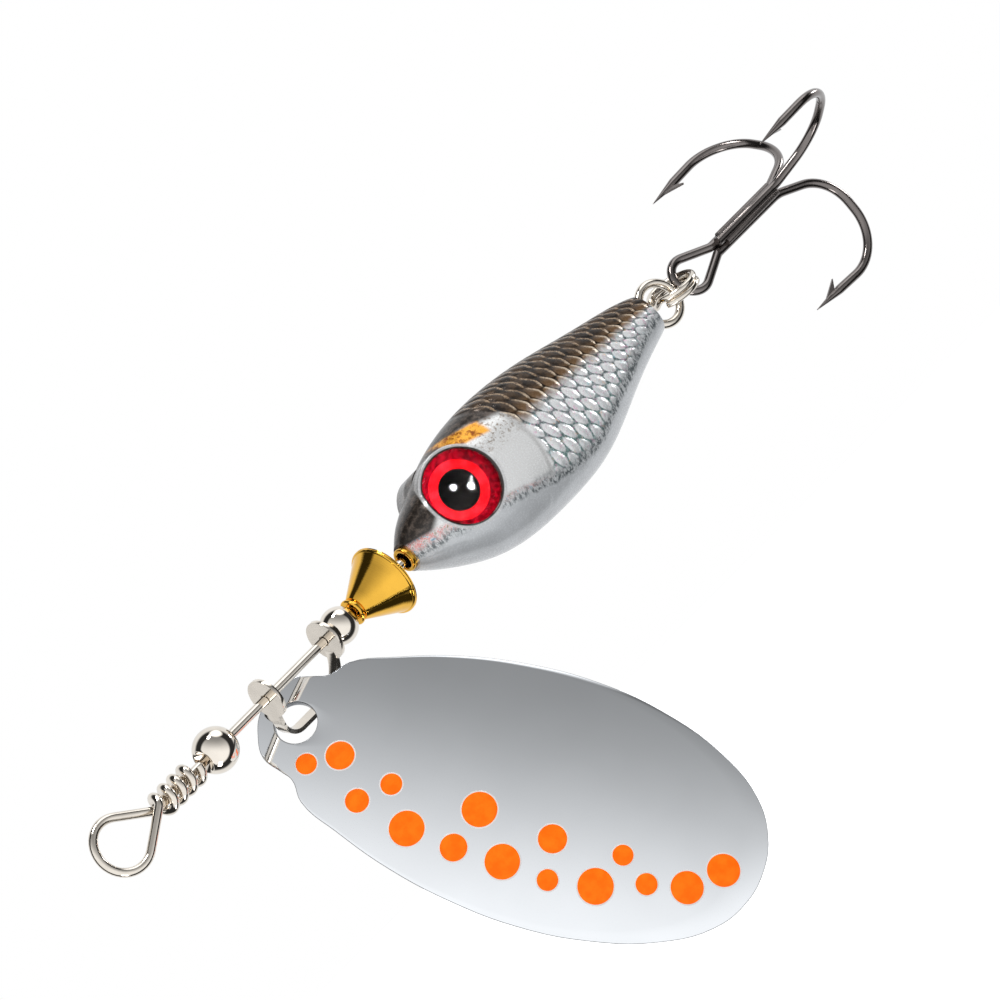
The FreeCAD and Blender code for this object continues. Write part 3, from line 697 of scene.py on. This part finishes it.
        # Polished rim round each eye.
        look_x = math.sin(math.radians(EYE_TURN))
        look_y = math.cos(math.radians(EYE_TURN))
        from_eye_x = p.calc("SUBTRACT", EYE_BACK, back)
        from_eye_y = p.calc("SUBTRACT", side, EYE_OUT)
        along = p.calc("ADD", p.calc("MULTIPLY", from_eye_x, look_x),
                       p.calc("MULTIPLY", from_eye_y, look_y))
        across = p.calc("SUBTRACT", p.calc("MULTIPLY", from_eye_x, look_y),
                        p.calc("MULTIPLY", from_eye_y, look_x))
        radius = p.calc("SQRT", p.calc("ADD", p.calc("POWER", across, 2.0),
                                       p.calc("POWER", p.calc("SUBTRACT", z, EYE_UP), 2.0)))
        beyond = p.calc("SUBTRACT", radius, SOCKET_R)
        outward = p.ramp(along, -1.6, -1.2)
        on_rim = p.calc("MULTIPLY", p.ramp(beyond, 0.34, 0.48, 1.0, 0.0), outward)
        skin = p.blend(p.calc("MULTIPLY", on_rim, 0.85), skin, (0.70, 0.70, 0.70, 1))
        # Painted shadow: near black just round the socket, the shade in the recess between the lens
        # and the rim.
        socket_shadow = p.calc("MULTIPLY", p.ramp(beyond, 0.08, 0.20, 1.0, 0.0), outward)
        skin = p.blend(socket_shadow, skin, (0.03, 0.022, 0.018, 1))

        metal = p.calc("MULTIPLY", p.ramp(level, 0.1, 0.6, 0.22, 0.34),
                       p.ramp(on_belly, 0.0, 1.0, 1.0, 0.6))
        rough = p.calc("MULTIPLY_ADD", p.ramp(grain, 0.35, 0.7), 0.12, 0.20)
        dome = p.calc("MULTIPLY", p.ramp(out, 0.0, 1.15, 1.0, 0.0),
                      p.calc("MULTIPLY_ADD", lean, 0.8, 0.7))
        raised = p.calc("MULTIPLY", p.calc("MULTIPLY", dome, on_scales),
                        p.ramp(above_belly, 0.3, 1.3))
        normal = p.bump(raised, 0.2, 0.9)
        normal = p.bump(grain, 0.012, 0.6, normal)
        normal = p.bump(p.calc("MULTIPLY", gill_line, -1.0), 0.05, 0.5, normal)
        p.set(Base_Color=skin, Metallic=metal, Roughness=rough, Normal=normal,
              Coat_Weight=p.ramp(level, 0.15, 0.55, 0.9, 0.12))
        p.shader.inputs["Coat Roughness"].default_value = 0.04
        p.shader.inputs["Specular IOR Level"].default_value = 0.2
        dress(["body_casting"], p.material)
        soften("body_casting")
        return {"FINISHED"}


class SPINNER_OT_eyes(bpy.types.Operator):
    """Printed eye discs, glowing with painted light, under clear domed lenses"""

    bl_idname = "spinner.eyes"
    bl_label = "Eyes"

    def execute(self, context):
        s = context.scene.spinner_minnow
        p = Finish("eye print")
        x, _, z = p.axes()
        back = p.calc("SUBTRACT", NOSE_X, x)
        from_eye = p.calc("DIVIDE", p.calc("SUBTRACT", back, EYE_BACK),
                          math.cos(math.radians(EYE_TURN)))
        radius = p.calc("SQRT", p.calc("ADD", p.calc("POWER", from_eye, 2.0),
                                       p.calc("POWER", p.calc("SUBTRACT", z, EYE_UP), 2.0)))
        iris = tuple(s.iris)
        bright = p.blend(p.ramp(p.noise(0.9, 4.0, 0.6), 0.35, 0.7), (*iris, 1),
                         (min(1, iris[0] * 1.08), iris[1] + 0.02, iris[2] + 0.03, 1))
        dark = p.blend(p.ramp(p.noise(2.4, 4.0, 0.7), 0.4, 0.65),
                       (iris[0] * 0.10, 0.0, 0.002, 1), (iris[0] * 0.36, 0.002, 0.012, 1))
        face = p.blend(p.ramp(radius, 2.66, 2.82), bright, dark)
        face = p.blend(p.ramp(radius, 1.86, 1.94, 1.0, 0.0), face, (0.002, 0.002, 0.002, 1))
        # Emission makes the print glow: painted light that brightens the red ring.
        p.set(Base_Color=face, Roughness=0.4, Emission_Color=face,
              Normal=p.bump(p.noise(6.0, 3.0), 0.01, 0.4))
        p.shader.inputs["Emission Strength"].default_value = 0.35
        p.shader.inputs["Specular IOR Level"].default_value = 0.0
        dress(["left_eye_film", "right_eye_film"], p.material)
        lens = Finish("eye resin")
        swirl = lens.noise(0.8, 2.0)
        clear = lens.blend(swirl, (1.0, 0.98, 0.98, 1), (1.0, 1.0, 1.0, 1))
        lens.set(Base_Color=clear, Roughness=lens.ramp(swirl, 0.3, 0.8, 0.035, 0.05))
        lens.shader.inputs["Transmission Weight"].default_value = 1.0
        lens.shader.inputs["IOR"].default_value = 1.15
        dress(["left_eye_lens", "right_eye_lens"], lens.material)
        for name in ("left_eye_lens", "right_eye_lens"):
            soften(name, edge=0.05)
        return {"FINISHED"}


# ------------------------------------------------------------ stage

RIGHT = Vector((-0.588, 0.382, -0.713)).normalized()
BACK = Vector((0.545, 0.839, 0.0)).normalized()
UP = BACK.cross(RIGHT).normalized()
RIGHT = UP.cross(BACK).normalized()
AIM = Vector((-0.0409, 0.0178, -0.0026)) - RIGHT * 0.0005


class SPINNER_OT_stage(bpy.types.Operator):
    """Pale floor, soft studio light and the camera"""

    bl_idname = "spinner.stage"
    bl_label = "Stage"

    def execute(self, context):
        s = context.scene.spinner_stage
        self.world(context.scene)
        self.floor()
        self.lights(s)
        self.camera(context.scene, s)
        return {"FINISHED"}

    def world(self, scene):
        world = bpy.data.worlds.new("studio")
        scene.world = world
        world.use_nodes = True
        tree = world.node_tree
        tree.nodes.clear()

        def node(kind, inputs=None, **settings):
            made = tree.nodes.new(kind)
            for key, value in settings.items():
                setattr(made, key, value)
            for key, value in (inputs or {}).items():
                if isinstance(value, bpy.types.NodeSocket):
                    tree.links.new(value, made.inputs[key])
                else:
                    made.inputs[key].default_value = value
            return made

        ray = node("ShaderNodeTexCoord").outputs["Generated"]

        def toward(axis):
            return node("ShaderNodeVectorMath", {0: ray, 1: tuple(axis)},
                        operation="DOT_PRODUCT").outputs["Value"]

        def ramp(value, low, high, bottom, top):
            return node("ShaderNodeMapRange", {0: value, 1: low, 2: high, 3: bottom, 4: top},
                        interpolation_type="SMOOTHSTEP").outputs[0]

        def calc(operation, a, b):
            return node("ShaderNodeMath", {0: a, 1: b}, operation=operation).outputs[0]

        front = toward(BACK)
        up = toward(UP)
        # Soft box in front, greyer towards its top, a dark room round it, pale table behind.
        box = calc("MULTIPLY", ramp(front, 0.22, 0.40, 0.0, 1.0), ramp(up, -0.15, 0.95, 1.05, 0.26))
        table = ramp(front, -0.20, -0.50, 0.0, 0.9)
        ceiling = ramp(up, 0.90, 0.97, 0.0, 1.6)
        total = calc("ADD", calc("ADD", calc("ADD", box, table), ceiling), 0.03)
        shade = node("ShaderNodeBackground", {"Strength": total,
                                              "Color": (0.97, 0.985, 1.0, 1.0)})
        seen = node("ShaderNodeBackground", {"Strength": 1.0, "Color": (1, 1, 1, 1)})
        path = node("ShaderNodeLightPath")
        mix = node("ShaderNodeMixShader", {0: path.outputs["Is Camera Ray"],
                                           1: shade.outputs[0], 2: seen.outputs[0]})
        node("ShaderNodeOutputWorld", {"Surface": mix.outputs[0]})

    def floor(self):
        low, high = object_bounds()
        bm = bmesh.new()
        bmesh.ops.create_circle(bm, cap_ends=True, segments=96, radius=0.9)
        bmesh.ops.translate(bm, vec=((low.x + high.x) / 2, 0, low.z - 0.004), verts=bm.verts)
        mesh = bpy.data.meshes.new("floor")
        bm.to_mesh(mesh)
        bm.free()
        floor = bpy.data.objects.new("floor", mesh)
        bpy.context.scene.collection.objects.link(floor)
        finish = Finish("pale floor")
        cloud = finish.noise(0.02, 3.0)
        tint = finish.blend(cloud, (0.90, 0.90, 0.90, 1), (0.93, 0.93, 0.93, 1))
        finish.set(Base_Color=tint, Roughness=0.9, Emission_Color=(1, 1, 1, 1))
        finish.shader.inputs["Emission Strength"].default_value = 0.8
        finish.shader.inputs["Specular IOR Level"].default_value = 0.0
        mesh.materials.append(finish.material)
        floor.visible_glossy = False
        floor.visible_diffuse = False
        floor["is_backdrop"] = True

    def lights(self, s):
        middle = Vector(AIM)
        for name, offset, size, power in (
                ("key", UP * 0.40 + BACK * 0.12 - RIGHT * 0.24, 0.16, s.key_power),
                ("fill", -UP * 0.42 + BACK * 0.12 + RIGHT * 0.12, 0.20, s.fill_power),
                ("rim", UP * 0.25 - BACK * 0.20 + RIGHT * 0.25, 0.12, s.fill_power)):
            lamp = bpy.data.lights.new(name, "AREA")
            lamp.shape = "RECTANGLE"
            lamp.size = size
            lamp.size_y = size * 0.6
            lamp.energy = power
            holder = bpy.data.objects.new(name, lamp)
            holder.location = middle + offset
            holder.rotation_mode = "QUATERNION"
            holder.rotation_quaternion = (-offset).to_track_quat("-Z", "Y")
            bpy.context.scene.collection.objects.link(holder)
        self.eye_lamps()

    def eye_lamps(self):
        """Three small lamps that light only the resin eyes"""
        lenses = bpy.data.collections.new("resin eyes")
        for name in ("left_eye_lens", "right_eye_lens"):
            lenses.objects.link(NODES[name])
        turn = math.radians(EYE_TURN)
        look = Vector((math.sin(turn), math.cos(turn), 0))
        eye = Vector((NOSE_X - EYE_BACK, EYE_OUT + 0.6, EYE_UP)) * MM
        for name, right, up, size, power in (("eye lamp low", -0.085, -0.02, 0.022, 2.6),
                                             ("eye lamp side", 0.075, 0.0, 0.026, 2.6),
                                             ("eye lamp high", 0.075, 0.075, 0.014, 1.0)):
            normal = (look + RIGHT * right + UP * up).normalized()
            offset = (normal * 2 * normal.dot(BACK) - BACK) * 0.25
            lamp = bpy.data.lights.new(name, "AREA")
            lamp.shape = "DISK"
            lamp.size = size
            lamp.energy = power
            holder = bpy.data.objects.new(name, lamp)
            holder.location = eye + offset
            holder.rotation_mode = "QUATERNION"
            holder.rotation_quaternion = (-offset).to_track_quat("-Z", "Y")
            bpy.context.scene.collection.objects.link(holder)
            holder.light_linking.receiver_collection = lenses

    def camera(self, scene, s):
        data = bpy.data.cameras.new("camera")
        data.lens = s.lens
        data.sensor_width = 36.0
        data.clip_start = 0.01
        data.clip_end = 50.0
        camera = bpy.data.objects.new("camera", data)
        turn = Matrix((RIGHT, UP, BACK)).transposed() @ Matrix.Rotation(s.roll, 3, "Z")
        camera.location = AIM + BACK * s.distance
        camera.rotation_mode = "QUATERNION"
        camera.rotation_quaternion = turn.to_quaternion()
        scene.collection.objects.link(camera)
        scene.camera = camera
        scene.view_settings.view_transform = "Standard"


# ------------------------------------------------------------ add-on

STEPS = (SPINNER_OT_wire_parts, SPINNER_OT_bell_cap, SPINNER_OT_treble, SPINNER_OT_blade,
         SPINNER_OT_minnow, SPINNER_OT_eyes, SPINNER_OT_stage)
SETTINGS = {
    "spinner_metal": SpinnerMetalSettings,
    "spinner_blade": SpinnerBladeSettings,
    "spinner_minnow": SpinnerMinnowSettings,
    "spinner_stage": SpinnerStageSettings,
}


class SPINNER_PT_panel(bpy.types.Panel):
    """Lists the steps that dress the spinner"""

    bl_label = "Inline Spinner"
    bl_idname = "SPINNER_PT_panel"
    bl_space_type = "VIEW_3D"
    bl_region_type = "UI"
    bl_category = "Spinner"

    def draw(self, context):
        for step in STEPS:
            self.layout.operator(step.bl_idname)
        for name, group in SETTINGS.items():
            column = self.layout.column(heading=name.replace("_", " "))
            for setting in group.__annotations__:
                column.prop(getattr(context.scene, name), setting)


def register():
    for group in SETTINGS.values():
        bpy.utils.register_class(group)
    for name, group in SETTINGS.items():
        setattr(bpy.types.Scene, name, bpy.props.PointerProperty(type=group))
    for step in STEPS:
        bpy.utils.register_class(step)
    bpy.utils.register_class(SPINNER_PT_panel)


def unregister():
    bpy.utils.unregister_class(SPINNER_PT_panel)
    for step in reversed(STEPS):
        bpy.utils.unregister_class(step)
    for name, group in SETTINGS.items():
        delattr(bpy.types.Scene, name)
        bpy.utils.unregister_class(group)


def main():
    register()
    bpy.ops.spinner.wire_parts()
    bpy.ops.spinner.bell_cap()
    bpy.ops.spinner.treble()
    bpy.ops.spinner.blade()
    bpy.ops.spinner.minnow()
    bpy.ops.spinner.eyes()
    bpy.ops.spinner.stage()


if __name__ == "__main__":
    main()
